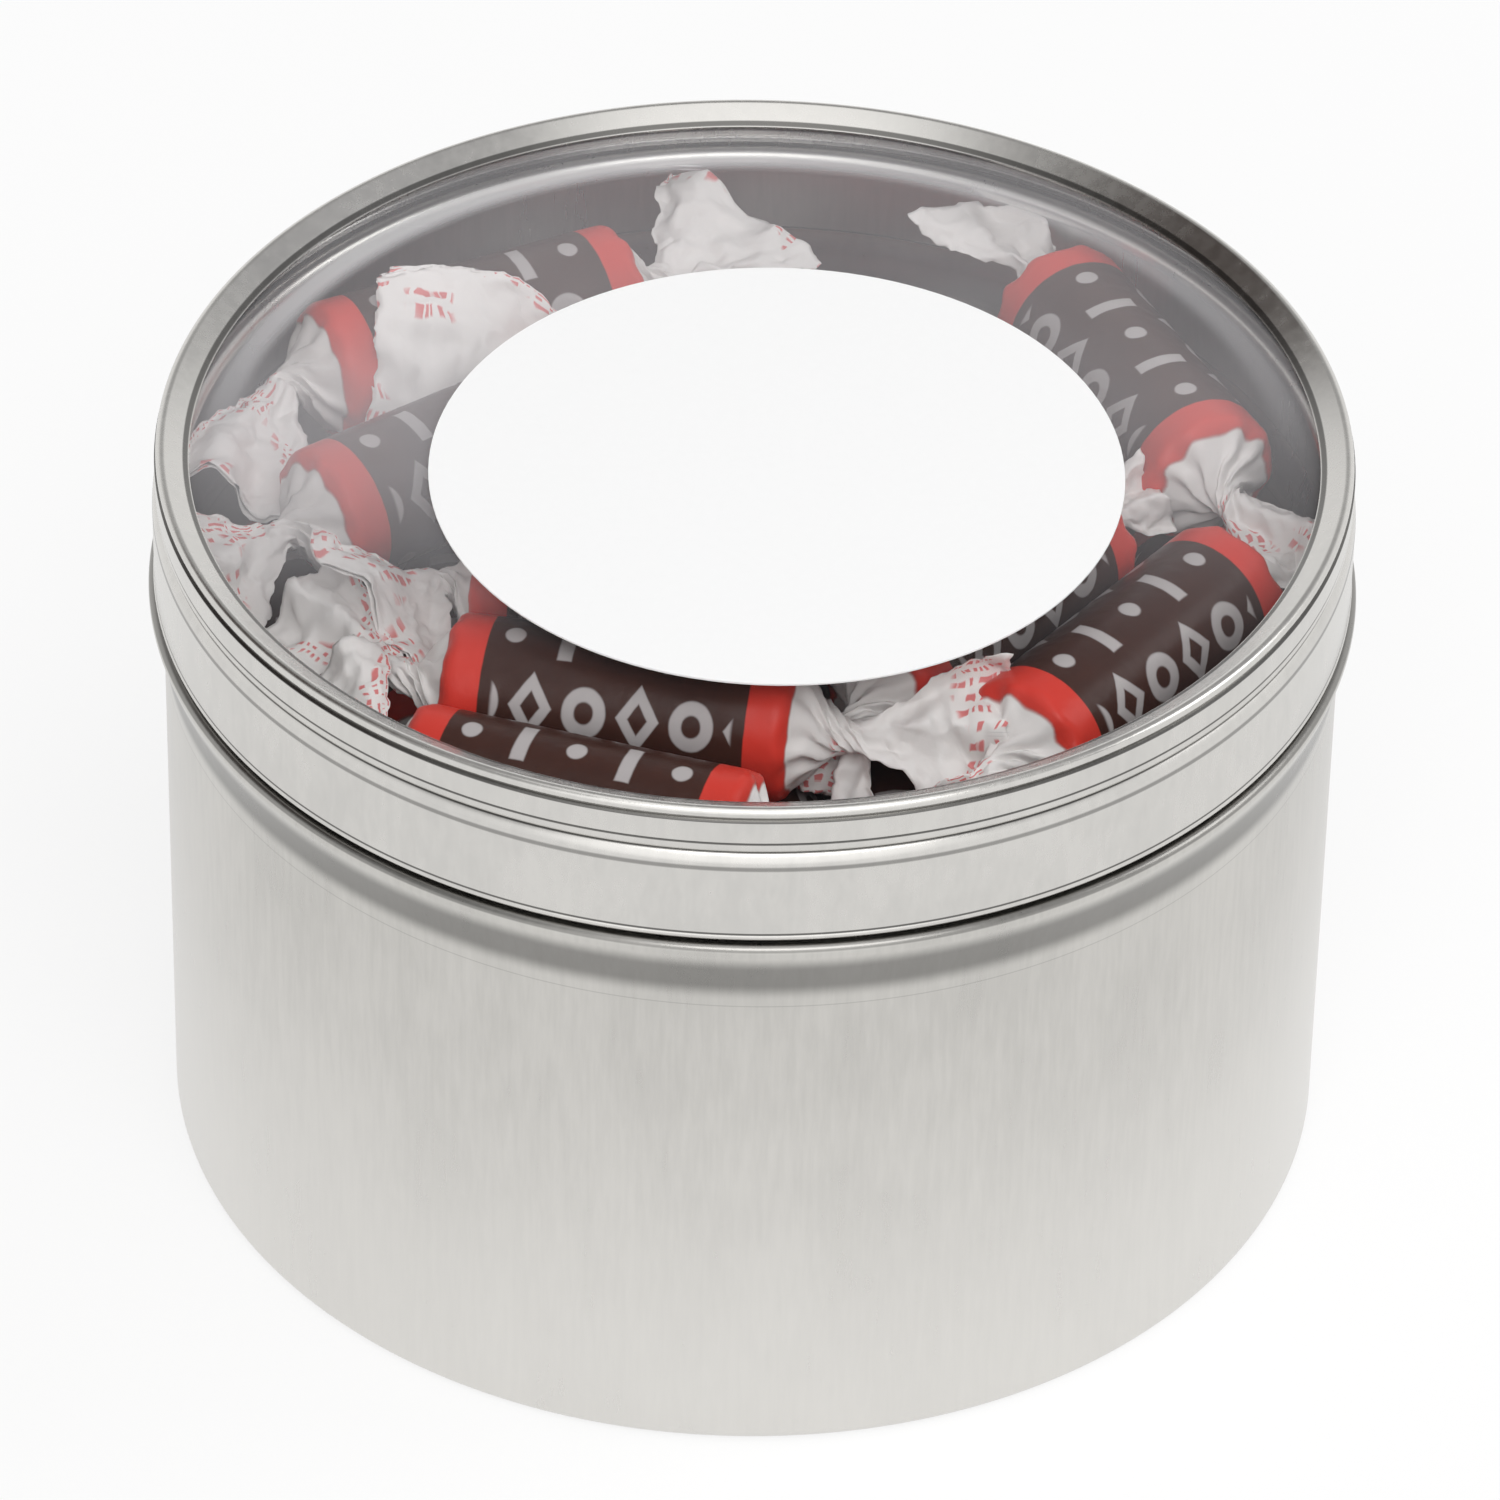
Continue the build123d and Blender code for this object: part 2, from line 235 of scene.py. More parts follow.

# clear window: thin glossy plastic with a painted reflection as a haze towards the back, a paler
# haze at the left, a painted highlight as a pale ring near the back edge and fine scratches. Places are in
# metres on the window
windowLook = {"roughness": 0.06, "ior": 1.5, "gloss": 0.004, "glossPower": 5,
              # painted reflection: the back reflection colour and share paint a milky haze towards the back
              "clearColour": (0.15, 0.15, 0.16), "backReflectionColour": (0.87, 0.85, 0.88),
              "backReflectionShare": 0.10, "backRange": (-0.042, 0.012),
              # a paler haze round a place at the left
              "hazeLeft": 0.11, "leftHazeAt": (-0.031, -0.006, 0), "leftHazeRange": (0.028, 0.006),
              # painted highlight: a pale ring near the back edge
              "edgeHighlightShare": 0.30, "edgeHighlightColour": (0.90, 0.89, 0.90), "edgeShift": 0.0025,
              "edgeStart": (0.0450, 0.0466), "edgeStop": (0.0474, 0.0485),
              "edgeBack": (-0.005, 0.03), "edgeLeft": (0.04, -0.01), "edgeLeast": 0.35, "edgeMore": 0.65,
              "patchScale": 35, "patchLeast": 0.6, "patchMore": 0.8,
              "scratch": 0.25, "scratchScale": (60, 900, 60), "scratchRange": (0.74, 0.80),
              "scratchDetail": 2.0}


# painted highlight: a pale ring near the back edge of the window, stronger to the left
def windowEdgeHighlight(tree, look, across, depth):
    shifted = plus(tree, depth, look["edgeShift"])
    reach = mathNode(tree, "SQRT", plus(tree, times(tree, across, across), times(tree, shifted, shifted)))
    ring = minus(tree, rampMask(tree, reach, *look["edgeStart"]), rampMask(tree, reach, *look["edgeStop"]))
    ring = times(tree, ring, rampMask(tree, depth, *look["edgeBack"]))
    leftward = times(tree, rampMask(tree, across, *look["edgeLeft"]), look["edgeMore"])
    return times(tree, ring, plus(tree, look["edgeLeast"], leftward))


def windowMaterial(look):
    mat, tree, shader = newMaterial("clear_window")
    setInputs(shader, {"Roughness": look["roughness"], "IOR": look["ior"]})
    clear = addNode(tree, "ShaderNodeBsdfTransparent")
    facing = addNode(tree, "ShaderNodeLayerWeight")
    facing.inputs["Blend"].default_value = 0.5
    gloss = plus(tree, look["gloss"], mathNode(tree, "POWER", facing.outputs["Facing"], look["glossPower"]))
    streak = noiseTexture(tree, scaledObject(tree, look["scratchScale"]), 1.0, look["scratchDetail"])
    scratch = times(tree, rampMask(tree, streak, *look["scratchRange"]), look["scratch"])
    across, depth = splitVector(tree, scaledObject(tree))[:2]
    # painted reflection: a milky haze that grows towards the back
    backReflection = rampMask(tree, depth, *look["backRange"])
    leftHazeReach = addNode(tree, "ShaderNodeVectorMath", operation="DISTANCE")
    tree.links.new(scaledObject(tree, (1, 1, 0)), leftHazeReach.inputs[0])
    leftHazeReach.inputs[1].default_value = look["leftHazeAt"]
    toLeft = times(tree, rampMask(tree, leftHazeReach.outputs["Value"], *look["leftHazeRange"]), look["hazeLeft"])
    # painted highlight: the pale ring near the back edge
    edge = windowEdgeHighlight(tree, look, across, depth)
    reflectionTint = mixColour(tree, backReflection, look["clearColour"], look["backReflectionColour"])
    tree.links.new(mixColour(tree, edge, reflectionTint, look["edgeHighlightColour"]), shader.inputs["Base Color"])
    patches = times(tree, noiseTexture(tree, scaledObject(tree), look["patchScale"]), look["patchMore"])
    hazeAndReflection = plus(tree, times(tree, backReflection, look["backReflectionShare"]), toLeft)
    hazeAndReflection = times(tree, hazeAndReflection, plus(tree, look["patchLeast"], patches))
    hazeAndReflection = plus(tree, hazeAndReflection, times(tree, edge, look["edgeHighlightShare"]))
    share = plus(tree, plus(tree, gloss, hazeAndReflection), scratch)
    mixSurface(tree, share, clear.outputs[0], shader.outputs[0])
    return mat


clearWindow = windowMaterial(windowLook)

# plain label paper with a faint fibre
labelLook = {"colour": (0.95, 0.95, 0.95), "roughness": 0.55, "fibreScale": 1200, "fibreShade": 0.98,
             "fibreStrength": 0.1, "fibreDepth": 0.00001}


def labelMaterial(look):
    mat, tree, shader = newMaterial("label_paper")
    fibre = noiseTexture(tree, scaledObject(tree), look["fibreScale"])
    shaded = tuple(part * look["fibreShade"] for part in look["colour"])
    tree.links.new(mixColour(tree, fibre, shaded, look["colour"]), shader.inputs["Base Color"])
    shader.inputs["Roughness"].default_value = look["roughness"]
    addBump(tree, shader, fibre, look["fibreStrength"], look["fibreDepth"])
    return mat


labelPaper = labelMaterial(labelLook)

# wrapper paper: brown printed middle, a red band at each end, white waxed tails.
# UV x runs along the paper and UV y round it, and sizes are in mm of paper from its middle
paperLook = {"lengthMm": 62.0, "roundMm": 40.0,
             "brown": (0.036, 0.0115, 0.008), "brownLight": (0.066, 0.023, 0.015), "cloudScale": 260,
             "red": (0.66, 0.045, 0.03), "bandStart": 11.4, "bandEnd": 14.9, "startSoft": 0.08, "endSoft": 0.12,
             "white": (0.85, 0.825, 0.81), "roughness": 0.34, "specular": 0.22,
             "creaseScale": 420, "creaseStrength": 0.35, "creaseDepth": 0.00025,
             "pale": (0.50, 0.47, 0.47), "motifShare": 0.92, "motifSoft": 0.12, "motifStop": (1.3, 0.9),
             "cell": 4.6, "row": 6.6667, "cellsAhead": 40,
             "ringSize": 1.35, "ringHalf": 0.52, "ringSquash": 0.72, "dotSize": 0.85,
             "lozengeSize": 1.35, "lozengeHalf": 0.5, "lozengeSlope": 0.62, "barHalf": (0.62, 2.3),
             "print": (0.70, 0.12, 0.12), "printShare": 0.85, "printStart": (18.0, 18.6),
             "lineGap": 1.4, "lineHalf": 0.34, "lineSoft": 0.1, "lineJump": 7.3,
             "dashScale": 2.4, "dashRange": (0.46, 0.54), "zoneScale": (0.11, 0.10), "zoneRange": (0.53, 0.56)}


def softEdge(tree, distance, width):
    return oneMinus(tree, rampMask(tree, distance, -width, width))


def nearValue(tree, value, middle, half, soft):
    away = mathNode(tree, "ABSOLUTE", minus(tree, value, middle))
    return softEdge(tree, minus(tree, away, half), soft)


def either(tree, choice, first, second):
    # the first where choice is one and the second where it is zero
    return plus(tree, times(tree, first, choice), times(tree, second, oneMinus(tree, choice)))


def countOf(tree, value, size):
    return mathNode(tree, "FLOOR", mathNode(tree, "DIVIDE", value, size))


def middlePrint(tree, look, along, around):
    # rows of rings and lozenges, and between them rows of upright bars and dots
    cell, row, soft = look["cell"], look["row"], look["motifSoft"]
    oddRow = mathNode(tree, "MODULO", countOf(tree, around, row), 2)
    shifted = plus(tree, along, times(tree, oddRow, cell * 0.5))
    shifted = plus(tree, shifted, cell * look["cellsAhead"])  # no place is below zero
    oddCell = mathNode(tree, "MODULO", countOf(tree, shifted, cell), 2)
    dx = minus(tree, mathNode(tree, "MODULO", shifted, cell), cell / 2)
    dy = minus(tree, mathNode(tree, "MODULO", around, row), row / 2)
    ax, ay = mathNode(tree, "ABSOLUTE", dx), mathNode(tree, "ABSOLUTE", dy)
    squashed = times(tree, times(tree, dy, dy), look["ringSquash"])
    radius = mathNode(tree, "SQRT", plus(tree, times(tree, dx, dx), squashed))
    slanted = plus(tree, ax, times(tree, ay, look["lozengeSlope"]))
    ring = nearValue(tree, radius, look["ringSize"], look["ringHalf"], soft)
    lozenge = nearValue(tree, slanted, look["lozengeSize"], look["lozengeHalf"], soft)
    barWide, barHigh = look["barHalf"]
    outside = mathNode(tree, "MAXIMUM", minus(tree, ax, barWide), minus(tree, ay, barHigh))
    bar = softEdge(tree, outside, soft)
    dot = softEdge(tree, minus(tree, radius, look["dotSize"]), soft)
    return either(tree, oddRow, either(tree, oddCell, bar, dot), either(tree, oddCell, ring, lozenge))


def tailPrint(tree, look, along, around, far):
    # lines of short red dashes on parts of each tail
    gap = look["lineGap"]
    line = nearValue(tree, mathNode(tree, "MODULO", around, gap), gap / 2, look["lineHalf"], look["lineSoft"])
    lineShift = times(tree, countOf(tree, around, gap), look["lineJump"])
    dashPlace = joinVector(tree, times(tree, along, look["dashScale"]), lineShift)
    dashes = rampMask(tree, noiseTexture(tree, dashPlace, 1.0, 0.0), *look["dashRange"])
    zoneAlong, zoneAround = look["zoneScale"]
    zonePlace = joinVector(tree, times(tree, along, zoneAlong), times(tree, around, zoneAround))
    zones = rampMask(tree, noiseTexture(tree, zonePlace, 1.0, 0.0), *look["zoneRange"])
    printed = times(tree, times(tree, line, dashes), zones)
    printed = times(tree, printed, rampMask(tree, far, *look["printStart"]))
    return times(tree, printed, look["printShare"])


def paperMaterial(look):
    mat, tree, shader = newMaterial("wax_paper")
    paperUv = addNode(tree, "ShaderNodeUVMap", uv_map="paper")
    u, v = splitVector(tree, paperUv.outputs[0])[:2]
    along = times(tree, minus(tree, u, 0.5), look["lengthMm"])
    around = times(tree, v, look["roundMm"])
    far = mathNode(tree, "ABSOLUTE", along)
    objectPlace = scaledObject(tree)
    start, end = look["bandStart"], look["bandEnd"]
    stopFrom, stopTo = look["motifStop"]
    nearBand = rampMask(tree, far, start - stopFrom, start - stopTo)
    motif = times(tree, middlePrint(tree, look, along, around), oneMinus(tree, nearBand))
    redPrint = tailPrint(tree, look, along, around, far)
    cloudy = noiseTexture(tree, objectPlace, look["cloudScale"], 4.0)
    brown = mixColour(tree, cloudy, look["brown"], look["brownLight"])
    brown = mixColour(tree, times(tree, motif, look["motifShare"]), brown, look["pale"])
    white = mixColour(tree, redPrint, look["white"], look["print"])
    pastStart = rampMask(tree, far, start - look["startSoft"], start + look["startSoft"])
    pastEnd = rampMask(tree, far, end - look["endSoft"], end + look["endSoft"])
    colour = mixColour(tree, pastEnd, brown, white)
    colour = mixColour(tree, times(tree, pastStart, oneMinus(tree, pastEnd)), colour, look["red"])
    tree.links.new(colour, shader.inputs["Base Color"])
    setInputs(shader, {"Roughness": look["roughness"], "Specular IOR Level": look["specular"]})
    crease = noiseTexture(tree, objectPlace, look["creaseScale"], 5.0, 0.6)
    addBump(tree, shader, crease, look["creaseStrength"], look["creaseDepth"])
    return mat


waxPaper = paperMaterial(paperLook)

# the chew inside each wrapper
chewLook = {"dark": (0.045, 0.018, 0.012), "light": (0.075, 0.03, 0.02), "roughness": 0.5,
            "grainScale": 600, "grainDetail": 4.0, "grainStrength": 0.3, "grainDepth": 0.0001}


def chewMaterial(look):
    mat, tree, shader = newMaterial("chew")
    grain = noiseTexture(tree, scaledObject(tree), look["grainScale"], look["grainDetail"])
    tree.links.new(mixColour(tree, grain, look["dark"], look["light"]), shader.inputs["Base Color"])
    shader.inputs["Roughness"].default_value = look["roughness"]
    addBump(tree, shader, grain, look["grainStrength"], look["grainDepth"])
    return mat


chewBrown = chewMaterial(chewLook)
print("materials made")

# spun tinplate: the sheet's outline is laid as a loop of points and spun round
spinning = {"loopRadius": 0.01, "weld": 0.0000015, "smoothDeg": 32}


def arc(centreR, centreZ, radius, start, end, steps):
    angles = [radians(start + (end - start) * i / steps) for i in range(steps + 1)]
    return [(centreR + radius * cos(angle), centreZ + radius * sin(angle)) for angle in angles]


def spinSheet(name, outline, turns, mat):
    bpy.ops.object.select_all(action="DESELECT")
    bpy.ops.mesh.primitive_circle_add(vertices=len(outline), radius=spinning["loopRadius"], fill_type="NOTHING")
    piece = bpy.context.object
    piece.name = name
    for vertex, (r, z) in zip(piece.data.vertices, outline):
        vertex.co = (r * mm, 0, z * mm)
    bpy.ops.object.mode_set(mode="EDIT")
    bpy.ops.mesh.select_all(action="SELECT")
    bpy.ops.mesh.spin(steps=turns, angle=2 * pi, center=(0, 0, 0), axis=(0, 0, 1))
    bpy.ops.mesh.select_all(action="SELECT")
    bpy.ops.mesh.remove_doubles(threshold=spinning["weld"])
    bpy.ops.mesh.delete_loose(use_faces=False)
    bpy.ops.mesh.select_all(action="SELECT")
    bpy.ops.mesh.normals_make_consistent(inside=False)
    bpy.ops.object.mode_set(mode="OBJECT")
    bpy.ops.object.shade_smooth_by_angle(angle=radians(spinning["smoothDeg"]))
    dress(piece, mat)
    return piece


def dress(piece, mat):
    piece.data.materials.clear()
    piece.data.materials.append(mat)


def addMetal(name, outline, turns, mat, body, node):
    piece = spinSheet(name, outline, turns, mat)
    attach(piece, body)
    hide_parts(node)


# lengths in mm and angles in degrees
tinShape = {"wall": 51.15, "sheet": 0.3, "corner": 1.0, "panel": 47.0, "panelRise": 0.4, "panelBlend": 0.8,
            "beadHeight": 55.3, "beadSwell": 1.25, "beadCrest": 1.4, "blend": 20.5, "beadTop": 0.7,
            "neckFillet": 0.3, "curlHeight": 64.3, "curl": 0.9, "curlEnd": 255.0, "turns": 256}


def tinSide(t, inset):
    # from the foot up the wall, over the bead and into the curled edge, inset from the outside
    blendRadius = t["beadSwell"] / (1 - cos(radians(t["blend"]))) - t["beadCrest"]
    swellStart = t["beadHeight"] - (blendRadius + t["beadCrest"]) * sin(radians(t["blend"]))
    crest = t["wall"] + t["beadSwell"]
    neckHeight = t["beadHeight"] + t["beadTop"] + t["neckFillet"]
    side = arc(t["wall"] - t["corner"], t["corner"], t["corner"] - inset, -90, 0, 8)
    side += [(t["wall"] - inset, t["corner"] + (swellStart - t["corner"]) * i / 12) for i in range(1, 12)]
    side += arc(t["wall"] + blendRadius, swellStart, blendRadius + inset, 180, 180 - t["blend"], 10)
    side += arc(crest - t["beadCrest"], t["beadHeight"], t["beadCrest"] - inset, -t["blend"], 0, 5)[1:]
    side += arc(crest - t["beadTop"], t["beadHeight"], t["beadTop"] - inset, 0, 90, 10)[1:]
    side += arc(t["wall"] + t["neckFillet"], neckHeight, t["neckFillet"] + inset, -90, -180, 6)
    side += arc(t["wall"] - t["curl"], t["curlHeight"], t["curl"] - inset, 0, t["curlEnd"], 24)
    return side


def tinOutline(t):
    panelEdge = t["panel"] - t["panelBlend"]
    under = [(r, t["panelRise"]) for r in (0, panelEdge * 0.5, panelEdge)] + [(t["panel"], 0)]
    over = [(r, z + t["sheet"]) for r, z in under[::-1]]
    return under + tinSide(t, 0) + tinSide(t, t["sheet"])[::-1] + over


addMetal("tin_drawn_body", tinOutline(tinShape), tinShape["turns"], bodyTin, "tin", "tin_body")

lidShape = {"skirtInner": 51.58, "sheet": 0.3, "hemHeight": 56.77, "hem": 0.33, "hemOut": 0.05,
            "hemRise": 0.2154, "hemAngles": (98.7, 400.75), "skirtTop": 63.6,
            "groove": 65.34, "grooveDepth": 0.58, "bulge": 0.22, "ridge": 65.9, "ridgeProud": 0.28,
            "seatDrop": 0.2, "crease": 66.43, "creaseProud": 0.22, "collarProud": 0.32, "collarStep": 0.12,
            "collarTop": 68.72, "rimCreaseRise": 0.12, "rimCreaseDepth": 0.24, "rimStart": -25,
            "rimRadius": 0.55, "rimInset": 0.67, "rimRise": 0.56,
            "flangeAngle": 30, "flangeRun": 2.035, "turns": 256}


def throughThree(first, middle, last, steps):
    # points on the circle through three points, the first left out
    (ax, ay), (bx, by), (cx, cy) = first, middle, last
    aa, bb, cc = ax * ax + ay * ay, bx * bx + by * by, cx * cx + cy * cy
    d = 2 * (ax * (by - cy) + bx * (cy - ay) + cx * (ay - by))
    ux = (aa * (by - cy) + bb * (cy - ay) + cc * (ay - by)) / d
    uy = (aa * (cx - bx) + bb * (ax - cx) + cc * (bx - ax)) / d
    radius = sqrt((ax - ux) ** 2 + (ay - uy) ** 2)
    start, half, end = [atan2(y - uy, x - ux) for x, y in (first, middle, last)]
    sweep = (end - start) % (2 * pi)
    if (half - start) % (2 * pi) > sweep:
        sweep = -((start - end) % (2 * pi))
    angles = [start + sweep * i / steps for i in range(1, steps + 1)]
    return [(ux + radius * cos(angle), uy + radius * sin(angle)) for angle in angles]


def lidOutline(t):
    skirtOuter = t["skirtInner"] + t["sheet"]
    grooveR = skirtOuter - t["grooveDepth"]
    creaseR = grooveR + t["creaseProud"]
    collarOuter = grooveR + t["collarProud"]
    collarInner = collarOuter - t["sheet"]
    rimR, rimZ = collarOuter - t["rimInset"], t["collarTop"] + t["rimRise"]
    rimEnd = 90 + t["flangeAngle"]
    tip = radians(t["flangeAngle"])
    skirtRun = t["skirtTop"] - t["hemHeight"] - t["hemRise"]
    shoulder = ((skirtOuter + grooveR) / 2 + t["bulge"], (t["skirtTop"] + t["groove"]) / 2)
    outer = [(skirtOuter, t["hemHeight"] + t["hemRise"] + skirtRun * i / 6) for i in range(7)]
    outer += throughThree(outer[-1], shoulder, (grooveR, t["groove"]), 10)
    outer += throughThree(outer[-1], (grooveR + t["ridgeProud"], t["ridge"]), (creaseR, t["crease"]), 10)
    outer += [(collarOuter, t["crease"] + t["collarStep"]), (collarOuter, t["collarTop"]),
              (collarOuter - t["rimCreaseDepth"], t["collarTop"] + t["rimCreaseRise"])]
    outer += arc(rimR, rimZ, t["rimRadius"], t["rimStart"], rimEnd, 16)
    edge = (outer[-1][0] - t["flangeRun"], outer[-1][1] - t["flangeRun"] * sin(tip) / cos(tip))
    outer += [edge, (edge[0] + t["sheet"] * sin(tip), edge[1] - t["sheet"] * cos(tip))]
    inner = arc(rimR, rimZ, t["rimRadius"] - t["sheet"], rimEnd, t["rimStart"], 10)
    inner += [(collarInner, t["collarTop"] + t["rimCreaseRise"] / 2), (collarInner, t["ridge"] - t["seatDrop"]),
              (grooveR - t["sheet"], t["groove"]), (t["skirtInner"], t["skirtTop"])]
    hem = arc(t["skirtInner"] + t["hemOut"], t["hemHeight"], t["hem"], *t["hemAngles"], 26)[:-1]
    return outer + inner + hem


addMetal("lid_pressed_ring", lidOutline(lidShape), lidShape["turns"], lidTin, "lid", "lid_ring")
print("tin and lid ring spun")

dress(nodes["window_disc"], clearWindow)
dress(nodes["lid_label"], labelPaper)
for nodeName, node in nodes.items():
    if "chew" in nodeName:
        dress(node, chewBrown)
print("window, label and chews dressed")

# wrapped sweets: a sheet of paper rolled round the chew, gathered into pleats at each end,
# twisted at the knot and fanned out into a crumpled tail. Lengths are in mm, except weld, in
# metres. What lies beyond the chew is measured from its end, or from the knot where the
# name says so
sweetForm = {"rings": 168, "sides": 84, "paper": 0.06, "weld": 0.000002, "seedStart": 0.4, "seedStep": 1.37,
             "radius": 6.35, "half": 14.5, "lobes": 3, "lobeDepth": 0.05, "lobeFade": 8,
             "shoulder": 0.9, "shoulderEnd": 0.3, "shoulderDrop": 1.0, "gatherPower": 1.25,
             "pleats": 9, "finePleats": 13, "finePleatShare": 0.45, "finePleatPhase": 2.1,
             "pleatDepth": 0.34, "pleatPull": 0.55, "pleatFull": 0.8, "pleatKnotEnd": 2.4, "pleatEase": 0.5,
             "knotRadius": 1.35, "knotLength": 2.2, "twist": 2.3, "twistStart": 0.35,
             "spineStep": 0.5, "bendStart": 0.55, "bendKnotEnd": 2.6,
             "fanKnotStart": 1.0, "fanPower": 0.8, "openKnot": (0.8, 2.6), "flattenKnot": (0.6, 4.0),
             "flatThin": 0.28, "rollKnotEnd": 3.0,
             "foldDepth": 0.95, "foldRate": 2.3, "foldSlack": 0.85, "foldSpread": 2.6, "foldPhase": 1.3,
             "rippleDepth": 0.45, "rippleRate": 7.5, "ripplePhase": 2.7, "rippleSlant": 0.3,
             "foldLeast": 0.35, "foldMore": 0.65,
             "crumple": 0.75, "crumpleScale": 0.42, "crumpleShift": 3.7,
             "wrinkleLeast": 0.04, "wrinkleMore": 0.26, "wrinkleStart": -0.6, "wrinkleScale": 1.3,
             "wrinkleShift": 1.7}

# the space that the sweets lie in, and how far paper may give beyond its soft limits
room = {"radius": 50.85, "axisHeight": 59.35, "ceiling": 66.7, "ceilingGive": 0.8,
        "side": 49.3, "sideGive": 0.9, "giveOver": 2.5}

# across and along as shares of the room's radius, direction in degrees, and the two ends
endParts = ("turn", "rise", "roll", "length", "halfWidth", "cone")
sweets = {
    "sweet_01": (-0.212, -0.484, -10, (-30, 3, 25, 13, 6.5, 3.4), (2, 5, 50, 12, 7.5, 4.4)),
    "sweet_02": (0.629, -0.352, 52, (0, -20, 20, 6, 4.0, 3.0), (-50, -14, 20, 8, 5.0, 3.0)),
    "sweet_03": (0.655, 0.435, 117, (8, -4, -25, 10, 6.0, 2.8), (-2, 24, 5, 8, 9.5, 2.6)),
    "sweet_04": (-0.496, 0.570, 27, (54, 2, 25, 16, 8.5, 3.6), (20, 14, 15, 10, 9.5, 3.0)),
    "sweet_05": (-0.511, 0.189, 37, (13, 8, 30, 10, 8.0, 3.2), (0, -60, 0, 6, 4.0, 2.6)),
    "sweet_06": (0.387, -0.218, 54, (0, -60, 0, 6, 4.0, 2.6), (-22, 8, 35, 4.5, 3.8, 2.6)),
    "sweet_07": (-0.281, -0.762, -17, (-48, 3, 25, 12, 6.5, 2.8), (0, 0, 0, 8, 4.0, 2.8)),
    "sweet_08": (-0.173, -0.208, -8, (62, 16, 5, 8, 9.0, 2.6), (0, -70, 0, 6, 4.0, 2.6)),
    "sweet_09": (0.079, 0.285, -35, (46, 13, 35, 22, 11.5, 3.0), (0, -40, 0, 8, 4.5, 2.8)),
}


def smoothStep(low, high, value):
    t = min(max((value - low) / (high - low), 0), 1)
    return t * t * (3 - 2 * t)


def endSpine(form, end, azimuth, side):
    # points and directions of the middle line beyond one end of the chew, one step apart
    heading = radians(azimuth + end["turn"] + (180 if side < 0 else 0))
    rise = radians(end["rise"])
    along = Vector((cos(rise) * cos(heading), cos(rise) * sin(heading), sin(rise)))
    bodyWay = Vector((cos(radians(azimuth)), sin(radians(azimuth)), 0)) * side
    points, ways = [Vector((0, 0, 0))], [bodyWay]
    step, cone = form["spineStep"], end["cone"]
    for i in range(int((cone + form["knotLength"] + end["length"]) / step) + 2):
        bend = smoothStep(cone * form["bendStart"], cone + form["bendKnotEnd"], (i + 0.5) * step)
        way = (bodyWay * (1 - bend) + along * bend).normalized()
        ways.append(way)
        points.append(points[-1] + way * step)
    return points, ways


def spineAt(form, spine, reach):
    points, ways = spine
    place = min(max(reach / form["spineStep"], 0), len(points) - 1.001)  # just short of the last point
    i = int(place)
    t = place - i
    return points[i].lerp(points[i + 1], t), ways[i].lerp(ways[i + 1], t).normalized()


def paperRadius(form, cone, beyond):
    # along the chew, over its shoulder, down the gather and into the knot
    if beyond <= -form["shoulder"]:
        return form["radius"]
    if beyond <= form["shoulderEnd"]:
        t = (beyond + form["shoulder"]) / (form["shoulder"] + form["shoulderEnd"])
        return form["radius"] - form["shoulderDrop"] * (1 - sqrt(max(1 - t * t, 0)))
    t = min((beyond - form["shoulderEnd"]) / max(cone - form["shoulderEnd"], 0.1), 1)
    left = (1 - t) ** form["gatherPower"]
    return (form["radius"] - form["shoulderDrop"]) * left + form["knotRadius"] * (1 - left)


def paperSection(form, end, side, along, beyond, angle, seed):
    # the paper's place across the middle line: round on the chew, pleated and twisted
    # towards the knot, then opened out flat with folds
    cone = end["cone"]
    radius = paperRadius(form, cone, beyond)
    radius += form["lobeDepth"] * sin(form["lobes"] * angle + seed) * smoothStep(0, form["lobeFade"], along)
    pleatEnd = cone + form["pleatKnotEnd"]
    pleat = form["pleatDepth"] * smoothStep(-form["shoulder"], cone * form["pleatFull"], beyond)
    pleat = pleat * (1 - smoothStep(cone, pleatEnd, beyond) * form["pleatEase"])
    wave = sin(form["pleats"] * angle + seed)
    wave += form["finePleatShare"] * sin(form["finePleats"] * angle + form["finePleatPhase"] * seed)
    r = radius * (1 + pleat * form["pleatPull"] * wave) if beyond < pleatEnd else radius
    twistEnd = cone + form["knotLength"]
    around = angle + side * form["twist"] * smoothStep(cone * form["twistStart"], twistEnd, beyond)
    fan = smoothStep(cone + form["fanKnotStart"], twistEnd + end["length"], beyond)
    flatWide = form["knotRadius"] + (end["halfWidth"] - form["knotRadius"]) * fan ** form["fanPower"]
    thinFrom, thinTo = form["flattenKnot"]
    flatThin = form["knotRadius"] * (1 - smoothStep(cone + thinFrom, cone + thinTo, beyond)) + form["flatThin"]
    openFrom, openTo = form["openKnot"]
    opened = smoothStep(cone + openFrom, cone + openTo, beyond)
    x = r * cos(around) * (1 - opened) + flatWide * cos(around) * opened
    y = r * sin(around) * (1 - opened) + flatThin * sin(around) * opened
    if opened > 0:
        wide = max(flatWide, 1.0)
        slack = 1.0 if seed % 2 < 1 else form["foldSlack"]
        foldAngle = form["foldRate"] * x * slack / wide * form["foldSpread"] + form["foldPhase"] * seed
        rippleAngle = form["rippleRate"] * x / wide + form["ripplePhase"] * seed + form["rippleSlant"] * beyond
        fold = form["foldDepth"] * sin(foldAngle)
        fold += form["rippleDepth"] * sin(rippleAngle)
        y += fold * opened * (form["foldLeast"] + form["foldMore"] * fan)
    turned = radians(end["roll"]) * smoothStep(cone, cone + form["rollKnotEnd"], beyond)
    return x * cos(turned) - y * sin(turned), x * sin(turned) + y * cos(turned), opened


